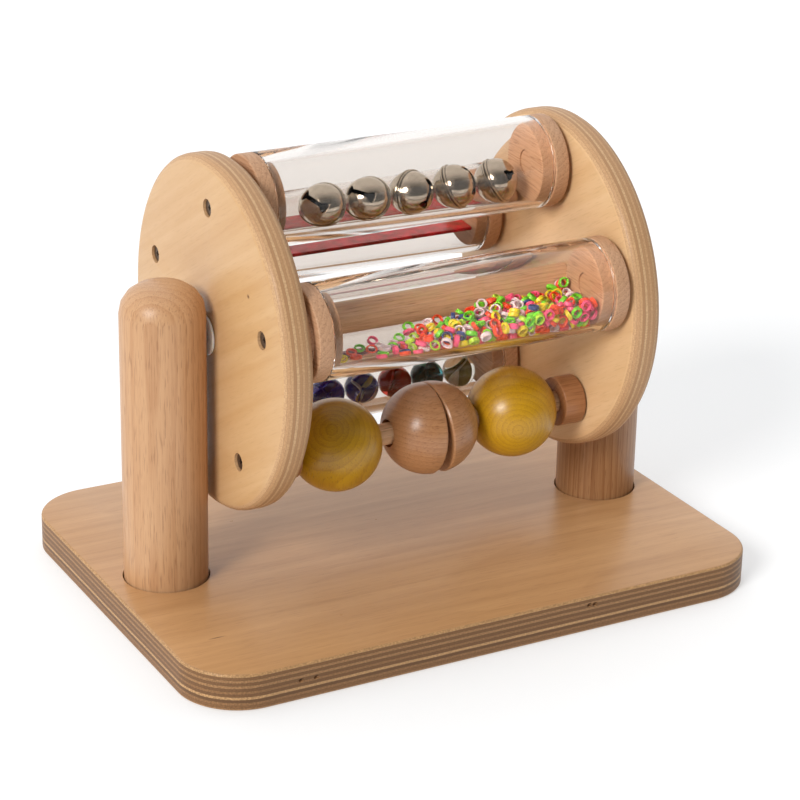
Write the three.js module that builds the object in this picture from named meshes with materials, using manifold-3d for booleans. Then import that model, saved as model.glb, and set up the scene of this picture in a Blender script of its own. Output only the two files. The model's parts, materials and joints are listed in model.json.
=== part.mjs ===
// Rotating rainmaker drum: two posts on a base board carry a steel axle, and a
// drum of two plywood discs turns on it. Four clear tubes of loose contents and
// one rod of wooden balls join the discs, evenly spaced on a pitch circle.
// Millimetres. X runs along the axle, -Y is the front, +Z is up, and the origin
// is the centre of the base board's underside.

import * as THREE from 'three';
import { mergeVertices } from 'three/addons/utils/BufferGeometryUtils.js';
import Module from 'manifold-3d';

// Clearances
const GAP = 0.3; // between pieces that touch on the real object
const LOOSE = 0.3; // between a loose piece and the wall it rests on

// Base board and posts
const BASE_LENGTH = 300;
const BASE_WIDTH = 220;
const BASE_THICKNESS = 18;
const BASE_CORNER_RADIUS = 30;
const BASE_EDGE_ROUNDING = 1.2;
const POST_RADIUS = 20;
const POST_HEIGHT = 164;
const POST_DOME_ROUNDING = 14;
const POST_CENTRE_X = 120;
const SOCKET_DEPTH = 9;
const SOCKET_CLEARANCE = 0.5;
const POST_SCREW_LENGTH = 33;
const POST_SCREW_SHANK_RADIUS = 2.2;
const POST_SCREW_HEAD_RADIUS = 5;
const POST_SCREW_HEAD_HEIGHT = 3;
const POST_SCREW_HEAD_ROUNDING = 0.8;
const COUNTERBORE_RADIUS = 6.5;
const COUNTERBORE_DEPTH = 4;

// Axle and drum frame
const AXLE_HEIGHT = 136;
const AXLE_RADIUS = 4;
const AXLE_BORE_DEPTH = 22;
const AXLE_END_PLAY = 0.5; // between the axle's end and its bore's floor
const DISC_RADIUS = 83.5;
const DISC_THICKNESS = 15;
const DISC_EDGE_ROUNDING = 4.5;
const DISC_INNER_X = 83.2;
const CORE_RADIUS = 12;
const BUSHING_SLEEVE_RADIUS = 6;
const BUSHING_FLANGE_RADIUS = 9.8;
const BUSHING_FLANGE_THICKNESS = 1.1;

// Five stations on the pitch circle, counted from the top towards the front
const PITCH_RADIUS = 61.5;
const STATION_COUNT = 5;
const FIRST_STATION_DEG = 92;
const STATION = { bells: 0, beads: 1, balls: 2, marbles: 3, slat: 4 };

// Disc screws
const SCREW_LENGTH = 26;
const SCREW_SHANK_RADIUS = 1.9;
const SCREW_HEAD_RADIUS = 3.9;
const SCREW_TIP_LENGTH = 4;
const SCREW_SINK = 1.2; // head top below the disc's face
const PILOT_SPARE = 0.6; // free depth beyond a screw's tip
const SCREW_HOLE_RADIUS = 2.3;
const SCREW_SEAT_RADIUS = 4.3;

// Tubes and their end plugs
const TUBE_RADIUS = 22.5;
const TUBE_WALL = 4;
const TUBE_BORE = TUBE_RADIUS - TUBE_WALL;
const TUBE_LENGTH = 146;
const PLUG_NECK_RADIUS = 17;
const PLUG_NECK_LENGTH = 2.2;
const PLUG_SPIGOT_RADIUS = 18;
const PLUG_SPIGOT_LENGTH = 6;
const PLUG_MARK_RADIUS = 6;
const PLUG_MARK_DEPTH = 0.8;

// Loose contents
const BELL_XS = [-38.7, -15.8, 6.7, 29.2, 51.6];
const BELL_RADIUS = 10.5;
const BELL_SHELL = 0.9;
const BELL_SEAM_RADIUS = 11.1;
const BELL_SEAM_HALF_WIDTH = 0.9;
const BELL_SLOT_WIDTH = 2;
const BELL_HOLE_RADIUS = 2.6;
const BELL_SLOT_REACH = 8.9; // from the bell's centre to the end of its slot
const BELL_CUT_DEPTH = 2.8; // how far up the shell its slot and holes reach
const PELLET_RADIUS = 3;
// Turn of each bell about X, Y and Z in degrees, from lying with its slot down, along X
const BELL_TURNS = [
  [-134, 47, 57], [-137, 43, 44], [-101, -25, 120], [-130, -41, -101], [-135, -42, 154],
];
const MARBLE_XS = [-15.5, 3, 21.2, 39.2, 57.2];
const MARBLE_RADIUS = 8.3;
const MARBLE_NAMES = ['marble_blue', 'marble_swirl', 'marble_red', 'marble_teal', 'marble_clear'];
const MARBLE_COLOURS = [0x16206b, 0xdfe8f2, 0xb3202a, 0x1f8f9a, 0xe6efe9];
const SLAT_HALF_LENGTH = 65;
const SLAT_HALF_WIDTH = 17.1;
const SLAT_THICKNESS = 1.6;
// Surface of the bead heap below its tube's axis, along the tube
const HEAP_PROFILE = [[-66, 15.4], [-30, 15], [-12, 12.2], [17, 8.6], [34, 5.8], [55, 5.6], [66, 6.6]];

// Rod of wooden balls
const ROD_RADIUS = 5.2;
const ROD_HALF_LENGTH = DISC_INNER_X - GAP;
const COLLAR_RADIUS = 12;
const COLLAR_LENGTH = 11.2;
const COLLAR_STANDOFF = 1; // between a collar and its disc
const BALL_RADIUS = 22;
const BALL_BORE_RADIUS = 6.1;
const BALL_DROP = 0.6;
const BALL_LEFT_X = -48.3;
const BALL_RIGHT_X = 46.9;
const HALF_BORE_RADIUS = 6.7;
// Each half ball: its flat face's x, its height on the rod, and its lean in degrees
const HALF_LEFT = { x: 0, drop: 0.9, leanDeg: 3 };
const HALF_RIGHT = { x: 3.2, drop: 0.9, leanDeg: 4.5 };

const SIDES = 24;
const DISC_SIDES = 40;
const TURNED_SIDES = 18;
const BELL_SIDES = 14;
const BELL_HOLE_SIDES = 6;
const SMALL_SIDES = 10;
const OVERSHOOT = 5; // how far a cutter reaches past the body it cuts

const wasm = await Module();
wasm.setup();

const radians = THREE.MathUtils.degToRad;

const paint = {
  beech: { color: 0xd9a066, roughness: 0.5, metalness: 0 },
  plywood: { color: 0xe6c08c, roughness: 0.4, metalness: 0 },
  acrylic: { color: 0xf1efec, roughness: 0.05, metalness: 0, transparent: true, opacity: 0.35 },
  steel: { color: 0xb8b8b8, roughness: 0.3, metalness: 1 },
  nickel: { color: 0xcfc6b6, roughness: 0.2, metalness: 1 },
  nylon: { color: 0xe8e4dc, roughness: 0.5, metalness: 0 },
  beads: { color: 0xe0567a, roughness: 0.4, metalness: 0 },
  red: { color: 0x9c1219, roughness: 0.15, metalness: 0 },
  yellow: { color: 0xe2a42c, roughness: 0.45, metalness: 0 },
  natural: { color: 0xe0b482, roughness: 0.5, metalness: 0 },
};

// Makes one named node.
function node(name, geometry, look) {
  const mesh = new THREE.Mesh(geometry, new THREE.MeshStandardMaterial(look));
  mesh.name = name;
  return mesh;
}

// Turns a closed outline of [along, radius] points about the X axis.
function turnedX(outline, sides = SIDES) {
  const points = outline.map(([along, radius]) => new THREE.Vector2(radius, along));
  return new THREE.LatheGeometry(points, sides).rotateZ(-Math.PI / 2);
}

// Turns a closed outline of [height, radius] points about the Z axis.
function turnedZ(outline, sides = SIDES) {
  const points = outline.map(([height, radius]) => new THREE.Vector2(radius, height));
  return new THREE.LatheGeometry(points, sides).rotateX(Math.PI / 2);
}

// Points on an arc in the outline's own plane, angles in degrees from the axis.
function arc(along, across, radius, fromDeg, toDeg, steps) {
  const points = [];
  for (let step = 0; step <= steps; step += 1) {
    const angle = radians(fromDeg + ((toDeg - fromDeg) * step) / steps);
    points.push([along + radius * Math.cos(angle), across + radius * Math.sin(angle)]);
  }
  return points;
}

// Closes an outline on its first point.
function closed(outline) {
  return [...outline, outline[0]];
}

function toSolid(geometry) {
  const bare = geometry.clone();
  bare.deleteAttribute('normal');
  bare.deleteAttribute('uv');
  const merged = mergeVertices(bare, 1e-4);
  return new wasm.Manifold(new wasm.Mesh({
    numProp: 3,
    vertProperties: new Float32Array(merged.attributes.position.array),
    triVerts: new Uint32Array(merged.index.array),
  }));
}

function toGeometry(solid) {
  const mesh = solid.getMesh();
  const geometry = new THREE.BufferGeometry();
  geometry.setAttribute('position', new THREE.BufferAttribute(mesh.vertProperties, 3));
  geometry.setIndex(new THREE.BufferAttribute(mesh.triVerts, 1));
  return geometry;
}

// Cuts each of the cutters out of a body.
function cut(body, cutters) {
  let solid = toSolid(body);
  for (const cutter of cutters) {
    solid = solid.subtract(toSolid(cutter));
  }
  return toGeometry(solid);
}

// Centre of a station on the pitch circle.
function stationCentre(index) {
  const angle = radians(FIRST_STATION_DEG + (360 / STATION_COUNT) * index);
  return new THREE.Vector3(
    0,
    PITCH_RADIUS * Math.cos(angle),
    AXLE_HEIGHT + PITCH_RADIUS * Math.sin(angle),
  );
}

// A group whose X axis is a station's centre line.
function stationGroup(index) {
  const group = new THREE.Group();
  group.position.copy(stationCentre(index));
  return group;
}

// Makes a piece at each end of the drum, the right one turned to mirror the left.
function bothEnds(name, geometry, look, place) {
  const pieces = [];
  for (const side of ['left', 'right']) {
    const piece = node(`${name}_${side}`, geometry.clone(), look);
    piece.position.copy(place);
    if (side === 'right') {
      piece.position.x = -place.x;
      piece.rotation.z = Math.PI;
    }
    pieces.push(piece);
  }
  return pieces;
}

function baseBoard() {
  const halfLength = BASE_LENGTH / 2;
  const halfWidth = BASE_WIDTH / 2;
  const corner = BASE_CORNER_RADIUS;
  const outline = new THREE.Shape();
  outline.moveTo(-halfLength + corner, -halfWidth);
  outline.lineTo(halfLength - corner, -halfWidth);
  outline.absarc(halfLength - corner, -halfWidth + corner, corner, -Math.PI / 2, 0, false);
  outline.lineTo(halfLength, halfWidth - corner);
  outline.absarc(halfLength - corner, halfWidth - corner, corner, 0, Math.PI / 2, false);
  outline.lineTo(-halfLength + corner, halfWidth);
  outline.absarc(-halfLength + corner, halfWidth - corner, corner, Math.PI / 2, Math.PI, false);
  outline.lineTo(-halfLength, -halfWidth + corner);
  outline.absarc(-halfLength + corner, -halfWidth + corner, corner, Math.PI, 1.5 * Math.PI, false);
  const board = new THREE.ExtrudeGeometry(outline, {
    depth: BASE_THICKNESS - 2 * BASE_EDGE_ROUNDING,
    curveSegments: 7,
    bevelThickness: BASE_EDGE_ROUNDING,
    bevelSize: BASE_EDGE_ROUNDING,
    bevelOffset: -BASE_EDGE_ROUNDING,
    bevelSegments: 1,
  });
  board.translate(0, 0, BASE_EDGE_ROUNDING);
  const socketFloor = BASE_THICKNESS - SOCKET_DEPTH;
  const shankHole = POST_SCREW_SHANK_RADIUS + GAP;
  const cutters = [-POST_CENTRE_X, POST_CENTRE_X].map((x) => turnedZ([
    [-OVERSHOOT, 0],
    [-OVERSHOOT, COUNTERBORE_RADIUS],
    [COUNTERBORE_DEPTH, COUNTERBORE_RADIUS],
    [COUNTERBORE_DEPTH, shankHole],
    [socketFloor, shankHole],
    [socketFloor, POST_RADIUS + SOCKET_CLEARANCE],
    [BASE_THICKNESS + OVERSHOOT, POST_RADIUS + SOCKET_CLEARANCE],
    [BASE_THICKNESS + OVERSHOOT, 0],
  ]).translate(x, 0, 0));
  return node('base_board', cut(board, cutters), paint.plywood);
}

// One post, standing in its socket, with a blind axle bore in its inner side.
function post(name, side) {
  const foot = BASE_THICKNESS - SOCKET_DEPTH + GAP;
  const pilotRadius = POST_SCREW_SHANK_RADIUS + GAP;
  const pilotTop = POST_SCREW_LENGTH + PILOT_SPARE;
  const shoulder = POST_HEIGHT - POST_DOME_ROUNDING;
  const body = turnedZ([
    [pilotTop, 0],
    [pilotTop, pilotRadius],
    [foot, pilotRadius],
    [foot, POST_RADIUS],
    ...arc(shoulder, POST_RADIUS - POST_DOME_ROUNDING, POST_DOME_ROUNDING, 90, 0, 4),
    [POST_HEIGHT, 0],
  ]);
  const boreFloor = POST_RADIUS - AXLE_BORE_DEPTH;
  const bore = turnedX([
    [boreFloor, 0],
    [boreFloor, AXLE_RADIUS + GAP],
    [POST_RADIUS + OVERSHOOT, AXLE_RADIUS + GAP],
    [POST_RADIUS + OVERSHOOT, 0],
  ], SMALL_SIDES);
  if (side > 0) {
    bore.rotateZ(Math.PI);
  }
  bore.translate(0, 0, AXLE_HEIGHT);
  const mesh = node(name, cut(body, [bore]), paint.beech);
  mesh.position.x = side * POST_CENTRE_X;
  return mesh;
}

function postScrew(name, side) {
  const headBottom = COUNTERBORE_DEPTH - GAP - POST_SCREW_HEAD_HEIGHT;
  const headTop = COUNTERBORE_DEPTH - GAP;
  const geometry = turnedZ([
    [headBottom, 0],
    [headBottom, POST_SCREW_HEAD_RADIUS - POST_SCREW_HEAD_ROUNDING],
    [headBottom + POST_SCREW_HEAD_ROUNDING, POST_SCREW_HEAD_RADIUS],
    [headTop, POST_SCREW_HEAD_RADIUS],
    [headTop, POST_SCREW_SHANK_RADIUS],
    [POST_SCREW_LENGTH - SCREW_TIP_LENGTH, POST_SCREW_SHANK_RADIUS],
    [POST_SCREW_LENGTH, 0],
  ], SMALL_SIDES);
  const mesh = node(name, geometry, paint.steel);
  mesh.position.x = side * POST_CENTRE_X;
  return mesh;
}

function axleRod() {
  const halfLength = POST_CENTRE_X - POST_RADIUS + AXLE_BORE_DEPTH - AXLE_END_PLAY;
  const geometry = turnedX([
    [-halfLength, 0],
    [-halfLength, AXLE_RADIUS],
    [halfLength, AXLE_RADIUS],
    [halfLength, 0],
  ], SMALL_SIDES);
  const mesh = node('axle_rod', geometry, paint.steel);
  mesh.position.z = AXLE_HEIGHT;
  return mesh;
}

// Left disc, measured from its outer face inwards, with five screw seats.
function discGeometry() {
  const bore = BUSHING_SLEEVE_RADIUS + GAP;
  const rounding = DISC_EDGE_ROUNDING;
  const body = turnedX(closed([
    [0, bore],
    ...arc(rounding, DISC_RADIUS - rounding, rounding, 180, 90, 2),
    ...arc(DISC_THICKNESS - rounding, DISC_RADIUS - rounding, rounding, 90, 0, 2),
    [DISC_THICKNESS, bore],
  ]), DISC_SIDES);
  const seatDepth = SCREW_SINK + GAP;
  const seat = turnedX([
    [-OVERSHOOT, 0],
    [-OVERSHOOT, SCREW_SEAT_RADIUS],
    [seatDepth, SCREW_SEAT_RADIUS],
    [seatDepth + SCREW_SEAT_RADIUS - SCREW_HOLE_RADIUS, SCREW_HOLE_RADIUS],
    [DISC_THICKNESS + OVERSHOOT, SCREW_HOLE_RADIUS],
    [DISC_THICKNESS + OVERSHOOT, 0],
  ], SMALL_SIDES);
  const seats = [];
  for (let index = 0; index < STATION_COUNT; index += 1) {
    const centre = stationCentre(index);
    seats.push(seat.clone().translate(0, centre.y, centre.z - AXLE_HEIGHT));
  }
  return cut(body, seats);
}

function discs() {
  const outerX = DISC_INNER_X + DISC_THICKNESS;
  const left = node('disc_left', discGeometry(), paint.plywood);
  left.position.set(-outerX, 0, AXLE_HEIGHT);
  const right = node('disc_right', discGeometry().scale(-1, 1, 1), paint.plywood);
  const order = right.geometry.index.array;
  for (let corner = 0; corner < order.length; corner += 3) {
    [order[corner], order[corner + 1]] = [order[corner + 1], order[corner]];
  }
  right.position.set(outerX, 0, AXLE_HEIGHT);
  return [left, right];
}

// Flanged nylon bushing in each disc, its flange against the disc's outer face.
function bushings() {
  const bore = AXLE_RADIUS + GAP;
  const geometry = turnedX(closed([
    [-GAP - BUSHING_FLANGE_THICKNESS, bore],
    [-GAP - BUSHING_FLANGE_THICKNESS, BUSHING_FLANGE_RADIUS],
    [-GAP, BUSHING_FLANGE_RADIUS],
    [-GAP, BUSHING_SLEEVE_RADIUS],
    [DISC_THICKNESS - GAP, BUSHING_SLEEVE_RADIUS],
    [DISC_THICKNESS - GAP, bore],
  ]), TURNED_SIDES);
  const place = new THREE.Vector3(-DISC_INNER_X - DISC_THICKNESS, 0, AXLE_HEIGHT);
  return bothEnds('bushing', geometry, paint.nylon, place);
}

function coreDowel() {
  const halfLength = DISC_INNER_X - GAP;
  const bore = AXLE_RADIUS + GAP;
  const geometry = turnedX(closed([
    [-halfLength, bore],
    [-halfLength, CORE_RADIUS],
    [halfLength, CORE_RADIUS],
    [halfLength, bore],
  ]));
  const mesh = node('core_dowel', geometry, paint.beech);
  mesh.position.z = AXLE_HEIGHT;
  return mesh;
}

// Countersunk wood screws at both ends of a station.
function discScrews(stationName) {
  const headDepth = SCREW_HEAD_RADIUS - SCREW_SHANK_RADIUS;
  const geometry = turnedX([
    [0, 0],
    [0, SCREW_HEAD_RADIUS],
    [headDepth, SCREW_SHANK_RADIUS],
    [SCREW_LENGTH - SCREW_TIP_LENGTH, SCREW_SHANK_RADIUS],
    [SCREW_LENGTH, 0],
  ], SMALL_SIDES);
  const place = stationCentre(STATION[stationName]);
  place.x = -DISC_INNER_X - DISC_THICKNESS + SCREW_SINK;
  return bothEnds(`disc_screw_${stationName}`, geometry, paint.steel, place);
}

function tube(name) {
  const halfLength = TUBE_LENGTH / 2;
  return node(name, turnedX(closed([
    [-halfLength, TUBE_BORE],
    [-halfLength, TUBE_RADIUS],
    [halfLength, TUBE_RADIUS],
    [halfLength, TUBE_BORE],
  ])), paint.acrylic);
}

// Wooden end plugs: a neck against the disc, a flange, and a spigot in the tube.
function tubePlugs(name) {
  const start = GAP;
  const flangeStart = start + PLUG_NECK_LENGTH;
  const flangeEnd = DISC_INNER_X - TUBE_LENGTH / 2 - GAP;
  const spigotEnd = flangeEnd + PLUG_SPIGOT_LENGTH;
  const pilotEnd = SCREW_SINK + SCREW_LENGTH - DISC_THICKNESS + PILOT_SPARE;
  const geometry = turnedX([
    [pilotEnd, 0],
    [pilotEnd, SCREW_HOLE_RADIUS],
    [start, SCREW_HOLE_RADIUS],
    [start, PLUG_NECK_RADIUS],
    [flangeStart, PLUG_NECK_RADIUS],
    [flangeStart, TUBE_RADIUS],
    [flangeEnd, TUBE_RADIUS],
    [flangeEnd, PLUG_SPIGOT_RADIUS],
    [spigotEnd, PLUG_SPIGOT_RADIUS],
    [spigotEnd, PLUG_MARK_RADIUS],
    [spigotEnd - PLUG_MARK_DEPTH, PLUG_MARK_RADIUS],
    [spigotEnd - PLUG_MARK_DEPTH, 0],
  ], TURNED_SIDES);
  return bothEnds(`${name}_plug`, geometry, paint.beech, new THREE.Vector3(-DISC_INNER_X, 0, 0));
}

// A tube with its plugs and whatever lies loose in it.
function tubeStation(index, name, contents) {
  const group = stationGroup(index);
  group.add(tube(name), ...tubePlugs(name), ...contents);
  return group;
}

// Jingle bell: a thin shell with a seam, a slot and a round hole at each slot end.
function bellGeometry() {
  const bottom = -BELL_RADIUS;
  const inner = BELL_RADIUS - BELL_SHELL;
  const seamHalf = BELL_SEAM_HALF_WIDTH;
  const seamDeg = THREE.MathUtils.radToDeg(Math.asin(seamHalf / BELL_RADIUS));
  const outer = turnedZ([
    ...arc(0, 0, BELL_RADIUS, 180, 90 + seamDeg, 3),
    [-seamHalf, BELL_SEAM_RADIUS],
    [seamHalf, BELL_SEAM_RADIUS],
    ...arc(0, 0, BELL_RADIUS, 90 - seamDeg, 0, 3),
  ], BELL_SIDES);
  const hollow = turnedZ(arc(0, 0, inner, 180, 0, 5), SMALL_SIDES);
  const cutCentre = bottom + BELL_CUT_DEPTH - BELL_RADIUS / 2 + OVERSHOOT;
  const slot = new THREE.BoxGeometry(2 * BELL_SLOT_REACH, BELL_SLOT_WIDTH, BELL_RADIUS);
  slot.translate(0, 0, cutCentre);
  const cutters = [hollow, slot];
  for (const side of [-1, 1]) {
    const hole = turnedZ([
      [-BELL_RADIUS / 2, 0],
      [-BELL_RADIUS / 2, BELL_HOLE_RADIUS],
      [BELL_RADIUS / 2, BELL_HOLE_RADIUS],
      [BELL_RADIUS / 2, 0],
    ], BELL_HOLE_SIDES);
    hole.translate(side * (BELL_SLOT_REACH - BELL_HOLE_RADIUS), 0, cutCentre);
    cutters.push(hole);
  }
  return cut(outer, cutters);
}

// Five bells lying in a row, each with a loose pellet resting inside it.
function bells() {
  const geometry = bellGeometry();
  const bellDrop = TUBE_BORE - BELL_SEAM_RADIUS - 2 * LOOSE;
  const pelletDrop = BELL_RADIUS - BELL_SHELL - PELLET_RADIUS - 4 * LOOSE;
  return BELL_XS.flatMap((x, index) => {
    const turn = BELL_TURNS[index].map(radians);
    const bell = node(`bell_${index + 1}`, geometry.clone(), paint.nickel);
    bell.position.set(x, 0, -bellDrop);
    bell.rotation.set(...turn);
    const ball = new THREE.SphereGeometry(PELLET_RADIUS, 7, 5);
    const pellet = node(`bell_pellet_${index + 1}`, ball, paint.steel);
    pellet.position.set(x, 0, -bellDrop - pelletDrop);
    return [bell, pellet];
  });
}

function marbles() {
  const drop = TUBE_BORE - MARBLE_RADIUS - 2 * LOOSE;
  return MARBLE_XS.map((x, index) => {
    const look = { color: MARBLE_COLOURS[index], roughness: 0.05, metalness: 0 };
    const ball = new THREE.SphereGeometry(MARBLE_RADIUS, 12, 8);
    const marble = node(MARBLE_NAMES[index], ball, look);
    marble.position.set(x, 0, -drop);
    return marble;
  });
}

// Loose red slat lying across its tube, both long edges on the bore.
function redSlat() {
  const reach = TUBE_BORE - 2 * LOOSE;
  const underside = -Math.sqrt(reach ** 2 - SLAT_HALF_WIDTH ** 2);
  const plate = new THREE.BoxGeometry(2 * SLAT_HALF_LENGTH, 2 * SLAT_HALF_WIDTH, SLAT_THICKNESS);
  const slat = node('red_slat', plate, paint.red);
  slat.position.z = underside + SLAT_THICKNESS / 2;
  return slat;
}

// Outline of the heap across the tube at one place: bore below, level surface above.
function heapSection(depth) {
  const reach = TUBE_BORE - 2 * LOOSE;
  const spreadDeg = THREE.MathUtils.radToDeg(Math.acos(depth / reach));
  return arc(0, 0, reach, spreadDeg, -spreadDeg, 8).map(([down, across]) => [across, -down]);
}

// Heap of plastic rings as one plain solid, lofted through its sections.
function beadHeap() {
  const rows = HEAP_PROFILE.map(([x, depth]) => heapSection(depth).map(([y, z]) => [x, y, z]));
  const count = rows[0].length;
  const index = [];
  for (let row = 0; row + 1 < rows.length; row += 1) {
    for (let point = 0; point < count; point += 1) {
      const near = row * count + point;
      const nearNext = row * count + ((point + 1) % count);
      index.push(near, near + count, nearNext);
      index.push(nearNext, near + count, nearNext + count);
    }
  }
  const last = (rows.length - 1) * count;
  for (let point = 1; point + 1 < count; point += 1) {
    index.push(0, point, point + 1);
    index.push(last, last + point + 1, last + point);
  }
  const geometry = new THREE.BufferGeometry();
  geometry.setAttribute('position', new THREE.Float32BufferAttribute(rows.flat(2), 3));
  geometry.setIndex(index);
  return node('bead_heap', geometry, paint.beads);
}

function ballRod() {
  const pilotEnd = ROD_HALF_LENGTH - (SCREW_SINK + SCREW_LENGTH - DISC_THICKNESS) - PILOT_SPARE;
  return node('ball_rod', turnedX([
    [-pilotEnd, 0],
    [-pilotEnd, SCREW_HOLE_RADIUS],
    [-ROD_HALF_LENGTH, SCREW_HOLE_RADIUS],
    [-ROD_HALF_LENGTH, ROD_RADIUS],
    [ROD_HALF_LENGTH, ROD_RADIUS],
    [ROD_HALF_LENGTH, SCREW_HOLE_RADIUS],
    [pilotEnd, SCREW_HOLE_RADIUS],
    [pilotEnd, 0],
  ], TURNED_SIDES), paint.beech);
}

function rodCollars() {
  const bore = ROD_RADIUS + GAP;
  const geometry = turnedX(closed([
    [COLLAR_STANDOFF, bore],
    [COLLAR_STANDOFF, COLLAR_RADIUS],
    [COLLAR_STANDOFF + COLLAR_LENGTH, COLLAR_RADIUS],
    [COLLAR_STANDOFF + COLLAR_LENGTH, bore],
  ]), TURNED_SIDES);
  return bothEnds('rod_collar', geometry, paint.beech, new THREE.Vector3(-DISC_INNER_X, 0, 0));
}

function yellowBall(name, x) {
  const boreDeg = THREE.MathUtils.radToDeg(Math.asin(BALL_BORE_RADIUS / BALL_RADIUS));
  const outline = closed(arc(0, 0, BALL_RADIUS, 180 - boreDeg, boreDeg, 7));
  const ball = node(name, turnedX(outline, TURNED_SIDES), paint.yellow);
  ball.position.set(x, 0, -BALL_DROP);
  return ball;
}

// Half ball with its flat face at the given x; facing is the way that face looks.
function halfBall(name, facing, { x, drop, leanDeg }) {
  const boreDeg = THREE.MathUtils.radToDeg(Math.asin(HALF_BORE_RADIUS / BALL_RADIUS));
  const outline = closed([
    ...arc(0, 0, BALL_RADIUS, 180 - boreDeg, 90, 4),
    [0, HALF_BORE_RADIUS],
  ]);
  const half = node(name, turnedX(outline, TURNED_SIDES), paint.natural);
  half.position.set(x, 0, -drop);
  half.rotation.y = radians(leanDeg) * facing;
  if (facing < 0) {
    half.geometry.rotateZ(Math.PI);
  }
  return half;
}

function ballStation() {
  const group = stationGroup(STATION.balls);
  group.add(
    ballRod(),
    ...rodCollars(),
    yellowBall('yellow_ball_left', BALL_LEFT_X),
    yellowBall('yellow_ball_right', BALL_RIGHT_X),
    halfBall('half_ball_left', 1, HALF_LEFT),
    halfBall('half_ball_right', -1, HALF_RIGHT),
  );
  return group;
}

function stand() {
  const group = new THREE.Group();
  group.add(baseBoard(), axleRod());
  group.add(post('post_left', -1), post('post_right', 1));
  group.add(postScrew('post_screw_left', -1), postScrew('post_screw_right', 1));
  return group;
}

function drum() {
  const group = new THREE.Group();
  group.add(...discs(), ...bushings(), coreDowel());
  for (const stationName of Object.keys(STATION)) {
    group.add(...discScrews(stationName));
  }
  group.add(tubeStation(STATION.bells, 'bell_tube', bells()));
  group.add(tubeStation(STATION.beads, 'bead_tube', [beadHeap()]));
  group.add(tubeStation(STATION.marbles, 'marble_tube', marbles()));
  group.add(tubeStation(STATION.slat, 'slat_tube', [redSlat()]));
  group.add(ballStation());
  return group;
}

const rainmaker = new THREE.Group();
rainmaker.add(stand(), drum());

export default rainmaker;
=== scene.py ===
"""Looks of the rotating rainmaker drum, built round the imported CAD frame.

Every CAD node is replaced by a finer piece in the same place, in metres.
"""

import json
import math
import random

import bmesh
import bpy
from mathutils import Matrix, Vector


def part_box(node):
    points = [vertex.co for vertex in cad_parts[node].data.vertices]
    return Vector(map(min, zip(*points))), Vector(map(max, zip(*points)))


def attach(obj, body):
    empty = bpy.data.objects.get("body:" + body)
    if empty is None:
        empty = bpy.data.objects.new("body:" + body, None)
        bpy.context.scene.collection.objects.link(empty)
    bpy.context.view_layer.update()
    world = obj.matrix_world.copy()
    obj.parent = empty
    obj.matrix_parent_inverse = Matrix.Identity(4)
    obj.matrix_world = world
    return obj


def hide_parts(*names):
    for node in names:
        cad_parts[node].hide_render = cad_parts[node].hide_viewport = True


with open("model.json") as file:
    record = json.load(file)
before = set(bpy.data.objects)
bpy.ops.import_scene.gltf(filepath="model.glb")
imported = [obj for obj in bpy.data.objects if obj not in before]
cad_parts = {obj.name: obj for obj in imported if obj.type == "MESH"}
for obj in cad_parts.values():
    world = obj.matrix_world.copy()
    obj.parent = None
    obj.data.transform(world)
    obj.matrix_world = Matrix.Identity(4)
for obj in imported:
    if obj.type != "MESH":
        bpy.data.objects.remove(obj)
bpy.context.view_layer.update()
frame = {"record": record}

MM = 0.001
RECORD = frame["record"]
BODY_OF = {
    node: body
    for body, nodes in RECORD["behaviour"]["bodies"].items()
    for node in nodes
}

# Camera: the point it turns round, its angles in degrees, and its place from that point
CAMERA_AIM = Vector((0, 0, 75 * MM))
CAMERA_AZIMUTH = -28.874
CAMERA_ELEVATION = 22.095
CAMERA_ROLL = 1.184
CAMERA_OFFSET = Vector((4.2, 10.0, 1264.3)) * MM
CAMERA_LENS = 116.83

# Sizes that the frame's boxes don't give
BASE_CORNER_RADIUS = 30 * MM
BASE_EDGE_ROUNDING = 1.2 * MM
BASE_PITS = [(-103.1, 9.9), (-95.6, 9.7), (47.9, 13.7), (51.0, 13.6)]  # x and z in mm, on the front edge
SOCKET_RADIUS = 20.5 * MM
SOCKET_DEPTH = 9 * MM
COUNTERBORE_RADIUS = 6.5 * MM
COUNTERBORE_DEPTH = 4 * MM
POST_DOME_ROUNDING = 14 * MM
AXLE_BORE_RADIUS = 4.3 * MM
AXLE_BORE_DEPTH = 22 * MM
CLEARANCE = 0.3 * MM
OVERCUT = 2 * MM  # how far a cutter runs past the face that it opens
PITCH_RADIUS = 61.5 * MM
FIRST_STATION_DEG = 92
STATIONS = ["bells", "beads", "balls", "marbles", "slat"]
DISC_EDGE_ROUNDING = 4.5 * MM
BUSHING_SLEEVE_RADIUS = 6 * MM
BUSHING_FLANGE_THICKNESS = 1.1 * MM
SCREW_SHANK_RADIUS = 1.9 * MM
SCREW_HOLE_RADIUS = 2.3 * MM
SCREW_SEAT_RADIUS = 4.3 * MM
SCREW_RIM = 0.35 * MM
SCREW_TIP = 4 * MM
SCREW_RECESS = {"size": 1.9 * MM, "depth": 1.6 * MM}
POST_SCREW_SHANK_RADIUS = 2.2 * MM
POST_SCREW_HEAD_HEIGHT = 3 * MM
POST_SCREW_RECESS = {"size": 2.3 * MM, "depth": 1.8 * MM}
TUBE_WALL = 4 * MM
PLUG_NECK_RADIUS = 17 * MM
PLUG_NECK_LENGTH = 2.2 * MM
PLUG_SPIGOT_RADIUS = 18 * MM
PLUG_SPIGOT_LENGTH = 6 * MM
PLUG_MARK_RADIUS = 6 * MM
PLUG_MARK_DEPTH = 0.8 * MM
PLUG_PILOT_DEPTH = 12.8 * MM
ROD_BORE_RADIUS = 5.5 * MM
BALL_RADIUS = 22 * MM
BALL_BORE_RADIUS = 6.1 * MM
BALL_DROP = 0.6 * MM
HALF_BORE_RADIUS = 6.7 * MM
HALF_DROP = 0.9 * MM
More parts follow.
